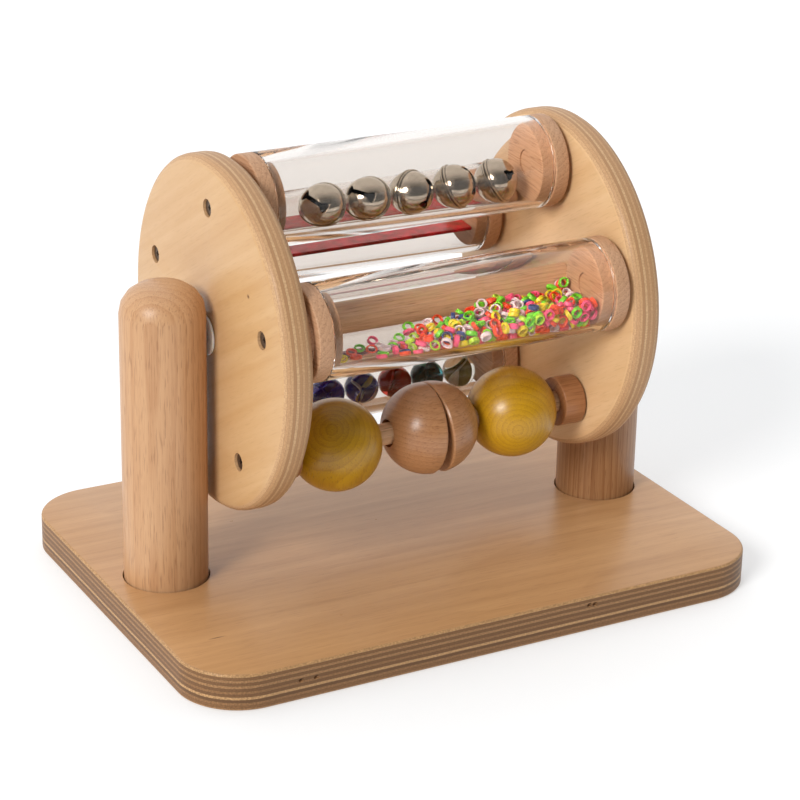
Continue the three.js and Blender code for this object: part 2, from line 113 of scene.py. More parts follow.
HALF_LEFT = {"x": 0, "lean": 3}
HALF_RIGHT = {"x": 3.2 * MM, "lean": -4.5}
BELL_RADIUS = 10.5 * MM
BELL_SHELL = 0.9 * MM
BELL_SEAM_RADIUS = 11.1 * MM
BELL_SLOT_WIDTH = 2 * MM
BELL_SLOT_REACH = 8.9 * MM
BELL_HOLE_RADIUS = 2.6 * MM
# The seam's double ridge: place across it, and depth below its top, in mm
BELL_SEAM = [
    (-1.25, 0.64), (-1.1, 0.25), (-0.95, 0.06), (-0.72, 0), (-0.5, 0.08), (-0.33, 0.3), (-0.2, 0.7),
    (0.2, 0.7), (0.33, 0.3), (0.5, 0.08), (0.72, 0), (0.95, 0.06), (1.1, 0.25), (1.25, 0.64),
]
# Turn of each bell about X, Y and Z in degrees, from lying with its slot down, along X
BELL_TURNS = [
    (-134, 47, 57), (-137, 43, 44), (-101, -25, 120), (-130, -41, -101), (-135, -42, 154),
]
# The heap's surface: place along the tube, and depth below its axis, in mm
HEAP_PROFILE = [(-66, 15.4), (-30, 15), (-12, 12.2), (17, 8.6), (34, 5.8), (55, 5.6), (66, 6.6)]
RING_COUNT = 375
RING_RADIUS = 2.6 * MM
RING_BORE = 1.85 * MM
RING_HEIGHT = 2.0 * MM
RING_SHARES = [5, 5, 4, 3, 4, 1, 1.5]
HEAP_BIAS = 1.35  # packs the deep end, so that it stays deep once the rings have slid
SETTLE_SCALE = 100
SETTLE_FRAMES = 70
# Towards the bright backdrop, up and behind; the studio is dark on the camera's side
BACKDROP_DIRECTION = (0.2, 0.75, 0.63)
BACKDROP_SPREAD = {"From Min": -0.25, "From Max": 0.85, "To Min": 0.1, "To Max": 1.15}

# Fineness
WIDE_SIDES = 160
SIDES = 96
SMALL_SIDES = 48
TINY_SIDES = 24
FILLET_STEPS = 4
SHARP_ANGLE = math.radians(32)
MERGE_DISTANCE = 0.0005 * MM


# ---------------- mesh tools


def rounded(outline, closed=False):
    """Rounds the corners of an outline of (along, radius, rounding) points."""
    points = []
    count = len(outline)
    for index, (along, radius, rounding) in enumerate(outline):
        here = Vector((along, radius))
        end_point = not closed and index in (0, count - 1)
        if rounding == 0 or end_point:
            points.append(here)
            continue
        before = (Vector(outline[index - 1][:2]) - here).normalized()
        after = (Vector(outline[(index + 1) % count][:2]) - here).normalized()
        half = before.angle(after) / 2
        reach = rounding / math.tan(half)
        centre = here + (before + after).normalized() * (rounding / math.sin(half))
        start = here + before * reach - centre
        end = here + after * reach - centre
        sweep = start.angle(end)
        for step in range(FILLET_STEPS + 1):
            part = step / FILLET_STEPS
            blend = start * math.sin((1 - part) * sweep) + end * math.sin(part * sweep)
            points.append(centre + blend / math.sin(sweep))
    return points


def arc(centre, radius, start_deg, end_deg, steps):
    """Points on an arc about a centre on the turning axis."""
    points = []
    for step in range(steps + 1):
        angle = math.radians(start_deg + (end_deg - start_deg) * step / steps)
        points.append(Vector((centre + radius * math.cos(angle), radius * math.sin(angle))))
    return points


def lathe(points, sides, axis="X", closed=False):
    """Turns (along, radius) points about an axis, and returns a closed mesh."""
    mesh = bmesh.new()
    rows = []
    for along, radius in points:
        if abs(radius) < 1e-7:
            rows.append([mesh.verts.new((along, 0, 0))])
            continue
        row = []
        for side in range(sides):
            angle = math.tau * side / sides
            row.append(mesh.verts.new((along, radius * math.cos(angle), radius * math.sin(angle))))
        rows.append(row)
    pairs = list(zip(rows, rows[1:]))
    if closed:
        pairs.append((rows[-1], rows[0]))
    for near, far in pairs:
        for side in range(sides):
            following = (side + 1) % sides
            if len(near) == 1 and len(far) == 1:
                break
            if len(near) == 1:
                mesh.faces.new((near[0], far[side], far[following]))
            elif len(far) == 1:
                mesh.faces.new((near[side], far[0], near[following]))
            else:
                mesh.faces.new((near[side], far[side], far[following], near[following]))
    if axis == "Z":
        bmesh.ops.rotate(mesh, verts=mesh.verts, matrix=Matrix.Rotation(-math.pi / 2, 3, "Y"))
    bmesh.ops.recalc_face_normals(mesh, faces=mesh.faces)
    return mesh


def cylinder(start, end, radius, sides, axis="X"):
    """A closed cylinder between two places on the turning axis."""
    return lathe([Vector((start, 0)), Vector((start, radius)),
                  Vector((end, radius)), Vector((end, 0))], sides, axis)


def to_object(mesh, name, place=(0, 0, 0)):
    """Makes a smooth-shaded object of a mesh, with its sharp corners kept."""
    data = bpy.data.meshes.new(name)
    mesh.to_mesh(data)
    mesh.free()
    made = bpy.data.objects.new(name, data)
    made.location = place
    bpy.context.scene.collection.objects.link(made)
    shade(made)
    return made


def shade(made):
    made.data.shade_smooth()
    made.data.set_sharp_from_angle(angle=SHARP_ANGLE)


def cut(made, cutters):
    """Cuts each cutter mesh out of an object. Cutters are in the object's own space."""
    for mesh in cutters:
        tool = to_object(mesh, "cutter", made.location)
        modifier = made.modifiers.new("cut", "BOOLEAN")
        modifier.object = tool
        modifier.solver = "EXACT"
        graph = bpy.context.evaluated_depsgraph_get()
        data = bpy.data.meshes.new_from_object(made.evaluated_get(graph))
        made.modifiers.clear()
        old = made.data
        made.data = data
        bpy.data.meshes.remove(old)
        bpy.data.objects.remove(tool)
    clean(made.data)
    shade(made)


def clean(data):
    """Merges the near-coincident corners that a cut leaves, and closes what that opens."""
    mesh = bmesh.new()
    mesh.from_mesh(data)
    bmesh.ops.remove_doubles(mesh, verts=mesh.verts, dist=MERGE_DISTANCE)
    bmesh.ops.dissolve_degenerate(mesh, edges=mesh.edges, dist=MERGE_DISTANCE)
    bmesh.ops.triangulate(mesh, faces=[face for face in mesh.faces if len(face.verts) > 4])
    bmesh.ops.holes_fill(mesh, edges=[edge for edge in mesh.edges if edge.is_boundary], sides=0)
    mesh.to_mesh(data)
    mesh.free()


def moved(mesh, offset):
    """Shifts a mesh and returns it."""
    bmesh.ops.translate(mesh, verts=mesh.verts, vec=offset)
    return mesh


def extent(node):
    """Centre and size of a CAD node's box."""
    low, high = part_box(node)
    return (low + high) / 2, high - low


def fit(made, node, material):
    """Puts a piece in place of a CAD node."""
    made.data.materials.clear()
    made.data.materials.append(material)
    settle(made, node)


def turned(node, outline, sides, place, material, closed=False):
    """Turns an outline about X into the piece that stands for a CAD node, and returns it."""
    made = to_object(lathe(outline, sides, closed=closed), node + "_turned", place)
    fit(made, node, material)
    return made


def settle(made, node):
    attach(made, BODY_OF[node])
    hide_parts(node)


# ---------------- materials


class Shader:
    """Builds one material's nodes with short calls."""

    def __init__(self, name):
        self.material = bpy.data.materials.new(name)
        self.material.use_nodes = True
        self.tree = self.material.node_tree
        self.tree.nodes.clear()
        self.coords = self.add("ShaderNodeTexCoord").outputs["Object"]

    def add(self, kind, inputs=None, **settings):
        made = self.tree.nodes.new(kind)
        for key, value in settings.items():
            setattr(made, key, value)
        for key, value in (inputs or {}).items():
            if isinstance(value, bpy.types.NodeSocket):
                self.tree.links.new(value, made.inputs[key])
            else:
                made.inputs[key].default_value = value
        return made

    def math(self, operation, *values, kind="ShaderNodeMath"):
        return self.add(kind, dict(enumerate(values)), operation=operation).outputs[0]

    def vector(self, operation, *values):
        return self.math(operation, *values, kind="ShaderNodeVectorMath")

    def total(self, *terms):
        """Sum of (value, weight) terms, added from the last one up."""
        summed = None
        for value, weight in reversed(terms):
            part = self.math("MULTIPLY", value, weight)
            summed = part if summed is None else self.math("ADD", part, summed)
        return summed

    def length(self, vector):
        made = self.add("ShaderNodeVectorMath", {0: vector}, operation="LENGTH")
        return made.outputs["Value"]

    def split(self, vector):
        return self.add("ShaderNodeSeparateXYZ", {0: vector}).outputs

    def stretched(self, scale, coords=None):
        made = self.add("ShaderNodeMapping", {"Vector": coords or self.coords, "Scale": scale})
        return made.outputs[0]

    def noise(self, scale, detail=3, coords=None, distortion=0):
        place = self.stretched(scale, coords)
        inputs = {"Vector": place, "Scale": 1, "Detail": detail, "Distortion": distortion}
        return self.add("ShaderNodeTexNoise", inputs).outputs["Fac"]

    def ramp(self, value, stops):
        """A value or colour ramp from (place, grey or colour) stops."""
        made = self.add("ShaderNodeValToRGB", {"Fac": value})
        elements = made.color_ramp.elements
        while len(elements) < len(stops):
            elements.new(0.5)
        for element, (place, colour) in zip(elements, stops):
            element.position = place
            if isinstance(colour, (int, float)):
                colour = (colour, colour, colour)
            element.color = (*colour, 1)
        return made.outputs["Color"]

    def mix(self, amount, first, second, blend="MIX"):
        made = self.add("ShaderNodeMix", data_type="RGBA", blend_type=blend)
        for key, value in ((0, amount), (6, first), (7, second)):
            if isinstance(value, bpy.types.NodeSocket):
                self.tree.links.new(value, made.inputs[key])
            elif isinstance(value, tuple):
                made.inputs[key].default_value = (*value, 1)
            else:
                made.inputs[key].default_value = value
        return made.outputs[2]

    def bump(self, height, strength, distance):
        inputs = {"Height": height, "Strength": strength, "Distance": distance}
        return self.add("ShaderNodeBump", inputs).outputs["Normal"]

    def principled(self, **inputs):
        """Ends the material with one principled surface; _ in an input's name is a space."""
        named = {key.replace("_", " "): value for key, value in inputs.items()}
        return self.finish(self.add("ShaderNodeBsdfPrincipled", named).outputs[0])

    def finish(self, surface):
        self.add("ShaderNodeOutputMaterial", {"Surface": surface})
        return self.material


def colour(red, green, blue):
    """A display colour, 0 to 255 each, as linear light."""
    return tuple(linear(value / 255) for value in (red, green, blue))


def linear(value):
    return value / 12.92 if value <= 0.04045 else ((value + 0.055) / 1.055) ** 2.4


def grain(shader, turn, pith, rings, wobble):
    """Growth rings about a far pith, fibres and short ray flecks, all 0 to 1.

    turn, in degrees, brings the grain onto Z. pith is the pith's place across it.
    """
    angles = [math.radians(angle) for angle in turn]
    inputs = {"Vector": shader.coords, "Rotation": angles, "Location": (*pith, 0)}
    turned = shader.add("ShaderNodeMapping", inputs).outputs[0]
    bend = shader.noise((22, 22, 7), 2, turned)
    across = shader.vector("MULTIPLY", turned, (1, 1, 0))
    bent = shader.math("MULTIPLY_ADD", bend, wobble, shader.length(across))
    phase = shader.math("FRACT", shader.math("MULTIPLY", bent, rings))
    ring = shader.ramp(phase, [(0, 0.15), (0.62, 0.5), (0.92, 1), (1, 0.15)])
    strand = shader.noise((1500, 1500, 45), 3, turned)
    fibre = shader.ramp(strand, [(0.32, 0), (0.68, 1)])
    speck = shader.noise((1700, 1700, 110), 1, turned)
    fleck = shader.ramp(speck, [(0.58, 0), (0.7, 1)])
    return turned, ring, fibre, fleck


def wood(name, pale, deep, fleck_colour, turn=(0, 0, 0), pith=(0.07, 0.04), rings=260,
         wobble=0.006, ring_amount=0.55, fleck_amount=0.5, roughness=0.42, coat=0.15):
    shader = Shader(name)
    turned, ring, fibre, fleck = grain(shader, turn, pith, rings, wobble)
    broad = shader.noise((30, 30, 9), 3, turned, 0.6)
    tone = shader.ramp(
        shader.total((ring, ring_amount), (fibre, 0.2), (broad, 0.36)), [(0.2, 0), (0.8, 1)]
    )
    body = shader.mix(tone, pale, deep)
    body = shader.mix(shader.math("MULTIPLY", fleck, fleck_amount), body, fleck_colour)
    height = shader.math("SUBTRACT", shader.math("MULTIPLY", fibre, 0.5), fleck)
    gloss = shader.math("MULTIPLY_ADD", fibre, 0.14, roughness - 0.07)
    return shader.principled(
        Base_Color=body, Roughness=gloss, Specular_IOR_Level=0.4, Coat_Weight=coat,
        Coat_Roughness=0.28, Normal=shader.bump(height, 0.25, 0.08 * MM),
    )


def plywood(name, axis, low, thickness, plies, veneer, edge, turn, marks, roughness,
            glue_amount):
    """Face veneer and the layers that show where the edge is cut.

    axis is the one through the layers; marks are (place, size, strength) dark spots.
    """
    shader = Shader(name)
    turned, ring, fibre, fleck = grain(shader, turn, (0.5, 0.28), 95, 0.03)
    split = shader.split(shader.coords)
    wave = shader.noise((60, 60, 60), 2)
    depth = shader.math("DIVIDE", shader.math("SUBTRACT", split[axis], low), thickness)
    depth = shader.math("MULTIPLY_ADD", shader.math("SUBTRACT", wave, 0.5), 0.02, depth)
    count = shader.math("MULTIPLY", depth, plies)
    layer = shader.math("FLOOR", count)
    inside = shader.math("FRACT", count)
    odd = shader.math("MODULO", layer, 2)
    own = shader.add(
        "ShaderNodeTexWhiteNoise", {"W": layer}, noise_dimensions="1D"
    ).outputs["Value"]
    glue = shader.ramp(inside, [(0.0, 1), (0.1, 0), (0.9, 0), (1.0, 1)])
    pores = shader.noise((1500, 1500, 1500), 2)
    streak = shader.noise((260, 260, 260), 4)

    long_grain = shader.mix(own, edge["pale"], edge["mid"])
    end_grain = shader.mix(own, edge["mid"], edge["dark"])
    band = shader.mix(odd, long_grain, end_grain)
    band = shader.mix(shader.ramp(pores, [(0.42, 0.5), (0.62, 0)]), band, edge["dark"])
    band = shader.mix(shader.math("MULTIPLY", glue, glue_amount), band, edge["glue"])

    broad = shader.noise((30, 30, 4), 3, turned, 0.8)
    cloud = shader.noise((240, 240, 6), 3, turned, 0.4)
    tone = shader.ramp(
        shader.total((ring, 0.12), (cloud, 0.5), (broad, 0.6)), [(0.38, 0), (0.78, 1)]
    )
    face = shader.mix(tone, veneer["pale"], veneer["deep"])
    face = shader.mix(shader.math("MULTIPLY", fleck, 0.22), face, veneer["fleck"])
    for place, size, strength in marks:
        offset = shader.vector("SUBTRACT", shader.coords, place)
        scaled = shader.stretched([1 / length for length in size], offset)
        spot = shader.ramp(shader.length(scaled), [(0.2, strength), (1, 0)])
        face = shader.mix(spot, face, veneer["mark"])

    normal = shader.add("ShaderNodeNewGeometry").outputs["True Normal"]
    local = shader.add("ShaderNodeVectorTransform", {0: normal}, vector_type="NORMAL",
                       convert_from="WORLD", convert_to="OBJECT").outputs[0]
    facing = shader.math("ABSOLUTE", shader.split(local)[axis])
    on_face = shader.ramp(facing, [(0.93, 0), (0.985, 1)])
    body = shader.mix(on_face, band, face)
    rough = shader.math(
        "MULTIPLY_ADD", shader.math("SUBTRACT", 1, on_face), 0.22,
        shader.math("MULTIPLY_ADD", streak, 0.1, roughness - 0.05),
    )
    relief = shader.mix(
        on_face, shader.math("SUBTRACT", pores, glue), shader.math("MULTIPLY", fibre, 0.4)
    )
    return shader.principled(
        Base_Color=body, Roughness=rough, Specular_IOR_Level=0.35, Coat_Weight=0.1,
        Coat_Roughness=0.2, Normal=shader.bump(relief, 0.3, 0.08 * MM),
    )


def metal(name, tint, roughness, scratch):
    """Plated or bright steel, with fine scratches and a little uneven shine."""
    shader = Shader(name)
    cloud = shader.noise((160, 160, 160), 4)
    lines = shader.noise((2400, 300, 900), 2)
    dull = tuple(value * 0.7 for value in tint)
    body = shader.mix(shader.ramp(cloud, [(0.35, 0), (0.75, 0.6)]), tint, dull)
    return shader.principled(
        Base_Color=body, Metallic=1.0, Normal=shader.bump(lines, scratch, 0.02 * MM),
        Roughness=shader.math("MULTIPLY_ADD", cloud, 0.12, roughness - 0.06),
    )


def bell_nickel(name, tint, roughness):
    """Nickel plate, with painted shade darkening the seam's crevices and the inside of the shell."""
    shader = Shader(name)
    cloud = shader.noise((220, 220, 220), 4)
    dull = tuple(value * 0.72 for value in tint)
    body = shader.mix(shader.ramp(cloud, [(0.35, 0), (0.75, 0.8)]), tint, dull)
    height = shader.math("ABSOLUTE", shader.split(shader.coords)[2])
    across = shader.math("DIVIDE", height, 3 * MM)
    # Painted shade: the groove between the seam's two ridges and the seam's feet are darkened towards
    # black.
    seam_painted_shade = shader.ramp(
        across, [(0.04, 0.75), (0.12, 0), (0.36, 0), (0.43, 0.7), (0.47, 0.45), (0.6, 0)]
    )
    body = shader.mix(seam_painted_shade, body, (0.05, 0.04, 0.03))
    # Painted shade: the shell's inner surface is darkened to near black.
    reach = shader.math("DIVIDE", shader.length(shader.coords), BELL_RADIUS)
    inside = shader.ramp(reach, [(0.955, 1), (0.985, 0)])
    body = shader.mix(inside, body, (0.03, 0.025, 0.02))
    return shader.principled(
        Base_Color=body, Metallic=1.0, Normal=shader.bump(cloud, 0.12, 0.03 * MM),
        Roughness=shader.math("MULTIPLY_ADD", cloud, 0.12, roughness - 0.06),
    )


def plastic(name, tint, roughness, patch=420, depth=0.72):
    """Moulded plastic with slight flow marks. patch is their number per metre."""
    shader = Shader(name)
    cloud = shader.noise((patch, patch, patch), 3)
    flow = shader.ramp(cloud, [(0.35, 0), (0.65, 1)])
    deep = tuple(value * depth for value in tint)
    return shader.principled(
        Base_Color=shader.mix(flow, tint, deep), Specular_IOR_Level=0.4,
        Roughness=shader.math("MULTIPLY_ADD", flow, 0.1, roughness - 0.05),
        Subsurface_Weight=0.15, Subsurface_Scale=1.5 * MM,
        Normal=shader.bump(flow, 0.12, 0.05 * MM),
    )


def clear(name, tint, ior, waviness):
    """Polished acrylic or glass that lets lamps through to what it holds."""
    shader = Shader(name)
    ripple = shader.noise((38, 90, 90), 2)
    scuff = shader.noise((700, 700, 700), 2)
    glass = shader.add(
        "ShaderNodeBsdfPrincipled",
        {
            "Base Color": (*tint, 1),
            "Roughness": shader.ramp(scuff, [(0.5, 0.004), (0.8, 0.03)]),
            "IOR": ior,
            "Transmission Weight": 1.0,
            "Normal": shader.bump(ripple, waviness, 0.05 * MM),
        },
    )
    through = shader.add("ShaderNodeBsdfTransparent", {"Color": (*tint, 1)})
    path = shader.add("ShaderNodeLightPath")
    both = shader.add(
        "ShaderNodeMixShader",
        {0: path.outputs["Is Shadow Ray"], 1: glass.outputs[0], 2: through.outputs[0]},
    )
    return shader.finish(both.outputs[0])


# ---------------- stand


def rounded_board(low, high, corner, edge):
    """A board with rounded corners, and its edges rounded above and below."""
    mesh = bmesh.new()
    corner_steps = 24
    half_x, half_y = high.x, high.y
    lower = []
    for step in range(FILLET_STEPS + 1):
        angle = math.pi / 2 * step / FILLET_STEPS
        lower.append((low.z + edge - edge * math.cos(angle), edge - edge * math.sin(angle)))
    upper = [(high.z - (z - low.z), inset) for z, inset in reversed(lower)]
    loops = []
    for z, inset in lower + upper:
        loop = []
        for sign_x, sign_y, start in ((1, -1, -90), (1, 1, 0), (-1, 1, 90), (-1, -1, 180)):
            for step in range(corner_steps + 1):
                angle = math.radians(start + 90 * step / corner_steps)
                radius = corner - inset
                loop.append(mesh.verts.new((
                    sign_x * (half_x - corner) + radius * math.cos(angle),
                    sign_y * (half_y - corner) + radius * math.sin(angle),
                    z,
                )))
        loops.append(loop)
    for near, far in zip(loops, loops[1:]):
        for index in range(len(near)):
            following = (index + 1) % len(near)
            mesh.faces.new((near[index], near[following], far[following], far[index]))
    mesh.faces.new(reversed(loops[0]))
    mesh.faces.new(loops[-1])
    bmesh.ops.recalc_face_normals(mesh, faces=mesh.faces)
    return mesh


def add_base(material):
    low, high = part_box("base_board")
    base = to_object(rounded_board(low, high, BASE_CORNER_RADIUS, BASE_EDGE_ROUNDING), "base")
    cutters = []
    for side in ("left", "right"):
        centre, _ = extent(f"post_{side}")
        floor = high.z - SOCKET_DEPTH
        shank = POST_SCREW_SHANK_RADIUS + CLEARANCE
        mouth = SOCKET_RADIUS + 0.4 * MM
        socket = [
            (low.z - OVERCUT, 0), (low.z - OVERCUT, COUNTERBORE_RADIUS),
            (COUNTERBORE_DEPTH, COUNTERBORE_RADIUS), (COUNTERBORE_DEPTH, shank),
            (floor, shank), (floor, SOCKET_RADIUS),
            (high.z - 0.3 * MM, SOCKET_RADIUS), (high.z + 0.1 * MM, mouth),
            (high.z + OVERCUT, mouth), (high.z + OVERCUT, 0),
        ]
        socket = [Vector(point) for point in socket]
        cutters.append(moved(lathe(socket, SIDES, "Z"), (centre.x, 0, 0)))
    for x, z in BASE_PITS:
        pit = bmesh.new()
        bmesh.ops.create_icosphere(pit, subdivisions=3, radius=1.4 * MM)
        bmesh.ops.scale(pit, verts=pit.verts, vec=(1.0, 0.9, 0.7))
        cutters.append(moved(pit, (x * MM, low.y, z * MM)))
    cut(base, cutters)
    fit(base, "base_board", material)


def add_posts(left, right):
    for side, sign, material in (("left", -1, left), ("right", 1, right)):
        node = f"post_{side}"
        low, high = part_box(node)
        radius = (high.x - low.x) / 2
        pilot = POST_SCREW_SHANK_RADIUS + CLEARANCE
        pilot_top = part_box(f"post_screw_{side}")[1].z + 2 * CLEARANCE
        outline = rounded([
            (pilot_top, 0, 0),
            (pilot_top, pilot, 0),
            (low.z, pilot, 0),
            (low.z, radius, 0.5 * MM),
            (high.z, radius, POST_DOME_ROUNDING),
            (high.z, 0, 0),
        ])
        place = ((low.x + high.x) / 2, 0, 0)
        post = to_object(lathe(outline, SIDES, "Z"), node + "_turned", place)
        axle_height = extent("axle_rod")[0].z
        floor = radius - AXLE_BORE_DEPTH
        bore = cylinder(floor, radius + OVERCUT, AXLE_BORE_RADIUS, SMALL_SIDES)
        if sign > 0:
            bmesh.ops.rotate(bore, verts=bore.verts, matrix=Matrix.Rotation(math.pi, 3, "Z"))
        cut(post, [moved(bore, (0, 0, axle_height))])
        fit(post, node, material)


def cross_recess(size, depth):
    """Two tapered cutters for a screw's cross recess, sunk along +X from x = 0."""
    arms = []
    for turn in (0, math.pi / 2):
        arm = bmesh.new()
        bmesh.ops.create_cube(arm, size=1)
        bmesh.ops.scale(arm, verts=arm.verts, vec=(2 * depth, size * 2, size * 0.42))
        for vertex in arm.verts:
            if vertex.co.x > 0:
                vertex.co.y *= 0.45
        bmesh.ops.rotate(arm, verts=arm.verts, matrix=Matrix.Rotation(turn, 3, "X"))
        arms.append(arm)
    return arms


def add_screw(node, axis, material):
    """A countersunk or cheese-head screw with a cross recess in its head."""
    centre, size = extent(node)
    low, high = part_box(node)
    if axis == "X":
        shank, recess = SCREW_SHANK_RADIUS, SCREW_RECESS
        head = max(size.y, size.z) / 2
        cone = head - shank
        crown = [(0, head, 0.15 * MM), (SCREW_RIM, head, 0), (SCREW_RIM + cone, shank, 0)]
        length = size.x
    else:
        shank, recess = POST_SCREW_SHANK_RADIUS, POST_SCREW_RECESS
        head = size.x / 2
        under = POST_SCREW_HEAD_HEIGHT
        crown = [(0, head, 0.9 * MM), (under, head, 0.1 * MM), (under, shank, 0)]
        length = size.z
    outline = rounded([(0, 0, 0), *crown, (length - SCREW_TIP, shank, 0), (length, 0, 0)])
    made = to_object(lathe(outline, SMALL_SIDES), node + "_turned")
    cut(made, cross_recess(**recess))
    if axis == "Z":
        made.rotation_euler = (0, -math.pi / 2, 0)
        made.location = (centre.x, centre.y, low.z)
    elif centre.x > 0:
        made.rotation_euler = (0, 0, math.pi)
        made.location = (high.x, centre.y, centre.z)
    else:
        made.location = (low.x, centre.y, centre.z)
    fit(made, node, material)


def add_rod(node, material, rounding):
    """A plain turned rod along X."""
    centre, size = extent(node)
    radius = max(size.y, size.z) / 2
    half = size.x / 2
    outline = rounded([
        (-half, 0, 0),
        (-half, radius, rounding),
        (half, radius, rounding),
        (half, 0, 0),
    ])
    turned(node, outline, SIDES, centre, material)


def add_sleeve(node, bore, rounding, material):
    """A turned ring or pipe along X, open from end to end."""
    centre, size = extent(node)
    radius = max(size.y, size.z) / 2
    half = size.x / 2
    outline = rounded([
        (-half, bore, rounding),
        (-half, radius, rounding),
        (half, radius, rounding),
        (half, bore, rounding),
    ], closed=True)
    turned(node, outline, SIDES, centre, material, closed=True)


# ---------------- drum


def station(name):
    """Centre of a station, across the drum's axle."""
    angle = math.radians(FIRST_STATION_DEG + 360 / len(STATIONS) * STATIONS.index(name))
    height = extent("axle_rod")[0].z
    return Vector((0, PITCH_RADIUS * math.cos(angle), height + PITCH_RADIUS * math.sin(angle)))


def add_disc(side, material):
    node = f"disc_{side}"
    centre, size = extent(node)
    radius = size.z / 2
    half = size.x / 2
    outward = 1 if side == "right" else -1
    bore = BUSHING_SLEEVE_RADIUS + CLEARANCE
    outline = rounded([
        (-half, bore, 0.3 * MM),
        (-half, radius, DISC_EDGE_ROUNDING),
        (half, radius, DISC_EDGE_ROUNDING),
        (half, bore, 0.3 * MM),
    ], closed=True)
    disc = to_object(lathe(outline, WIDE_SIDES, closed=True), node + "_turned", centre)
    seats = []
    sink = half - 1.5 * MM
    cone = SCREW_SEAT_RADIUS - SCREW_HOLE_RADIUS
    for name in STATIONS:
        seat = [
            (half + OVERCUT, 0), (half + OVERCUT, SCREW_SEAT_RADIUS),
            (sink, SCREW_SEAT_RADIUS), (sink - cone, SCREW_HOLE_RADIUS),
            (-half - OVERCUT, SCREW_HOLE_RADIUS), (-half - OVERCUT, 0),
        ]
        mesh = lathe([Vector((outward * x, y)) for x, y in seat], SMALL_SIDES)
        place = station(name)
        seats.append(moved(mesh, (0, place.y - centre.y, place.z - centre.z)))
    cut(disc, seats)
    fit(disc, node, material)


def add_bushing(side, material):
    node = f"bushing_{side}"
    centre, size = extent(node)
    radius = max(size.y, size.z) / 2
    half = size.x / 2
    outward = 1 if side == "right" else -1
    shoulder = half - BUSHING_FLANGE_THICKNESS
    outline = rounded([
        (outward * half, AXLE_BORE_RADIUS, 0.2 * MM),
        (outward * half, radius, 0.35 * MM),
        (outward * shoulder, radius, 0.1 * MM),
        (outward * shoulder, BUSHING_SLEEVE_RADIUS, 0),
        (-outward * half, BUSHING_SLEEVE_RADIUS, 0.3 * MM),
        (-outward * half, AXLE_BORE_RADIUS, 0.2 * MM),
    ], closed=True)
    turned(node, outline, SIDES, centre, material, closed=True)


def add_plug(node, material):
    """A tube's end plug, its neck towards the disc."""
    centre, size = extent(node)
    low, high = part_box(node)
    outward = 1 if centre.x > 0 else -1
    outer = high.x if outward > 0 else low.x
    length = size.x
    flange = max(size.y, size.z) / 2
    spigot = length - PLUG_SPIGOT_LENGTH
    outline = rounded([
        (PLUG_PILOT_DEPTH, 0, 0),
        (PLUG_PILOT_DEPTH, SCREW_HOLE_RADIUS, 0),
        (0, SCREW_HOLE_RADIUS, 0),
        (0, PLUG_NECK_RADIUS, 0.3 * MM),
        (PLUG_NECK_LENGTH, PLUG_NECK_RADIUS, 0),
        (PLUG_NECK_LENGTH, flange, 0.8 * MM),
        (spigot, flange, 0.5 * MM),
        (spigot, PLUG_SPIGOT_RADIUS, 0),
        (length, PLUG_SPIGOT_RADIUS, 0.5 * MM),
        (length, PLUG_MARK_RADIUS, 0.2 * MM),
        (length - PLUG_MARK_DEPTH, PLUG_MARK_RADIUS, 0),
        (length - PLUG_MARK_DEPTH, 0, 0),
    ])
    profile = [Vector((-outward * x, y)) for x, y in outline]
    turned(node, profile, SIDES, (outer, centre.y, centre.z), material)


def add_balls(yellow_left, yellow_right, natural):
    place = station("balls")
    for side, material in (("left", yellow_left), ("right", yellow_right)):
        node = f"yellow_ball_{side}"
        centre, _ = extent(node)
        bore_deg = math.degrees(math.asin(BALL_BORE_RADIUS / BALL_RADIUS))
        outline = arc(0, BALL_RADIUS, 180 - bore_deg, bore_deg, 48)
        hung = (centre.x, place.y, place.z - BALL_DROP)
        turned(node, outline, SIDES, hung, material, closed=True)
    for side, facing, half in (("left", 1, HALF_LEFT), ("right", -1, HALF_RIGHT)):
        node = f"half_ball_{side}"
        bore_deg = math.degrees(math.asin(HALF_BORE_RADIUS / BALL_RADIUS))
        outline = arc(0, BALL_RADIUS, 180 - bore_deg, 92, 26)
        outline += [Vector((0, BALL_RADIUS - 0.5 * MM)), Vector((0, HALF_BORE_RADIUS))]
        outline = [Vector((facing * x, y)) for x, y in outline]
        hung = (half["x"], place.y, place.z - HALF_DROP)
        made = turned(node, outline, SIDES, hung, natural, closed=True)
        made.rotation_euler = (0, math.radians(half["lean"]), 0)


# ---------------- contents


def bell_mesh():
    """Thin round shell with a double raised seam, its slot side down."""
    inner = BELL_RADIUS - BELL_SHELL
    ridge = BELL_SEAM_RADIUS
    outline = arc(0, BELL_RADIUS, 180, 97.5, 26)
    for across, height in BELL_SEAM:
        outline.append(Vector((across * MM, ridge - height * MM)))
    outline += arc(0, BELL_RADIUS, 82.5, 0, 26)
    return outline, arc(0, inner, 0, 180, 30)


def slot_cutter():
    """A slot across the bell's lower pole, with a round hole at each end."""
    over = 4 * MM
    top = -BELL_RADIUS + 2.8 * MM
    bottom = -BELL_RADIUS - over
    cutters = []
    for sign in (-1, 1):
        hole = cylinder(bottom, top, BELL_HOLE_RADIUS, TINY_SIDES, "Z")
        cutters.append(moved(hole, (sign * (BELL_SLOT_REACH - BELL_HOLE_RADIUS), 0, 0)))
    slot = bmesh.new()
    bmesh.ops.create_cube(slot, size=1)
    length = 2 * (BELL_SLOT_REACH - BELL_HOLE_RADIUS)
    bmesh.ops.scale(slot, verts=slot.verts, vec=(length, BELL_SLOT_WIDTH, top - bottom))
    cutters.append(moved(slot, (0, 0, (top + bottom) / 2)))
    return cutters


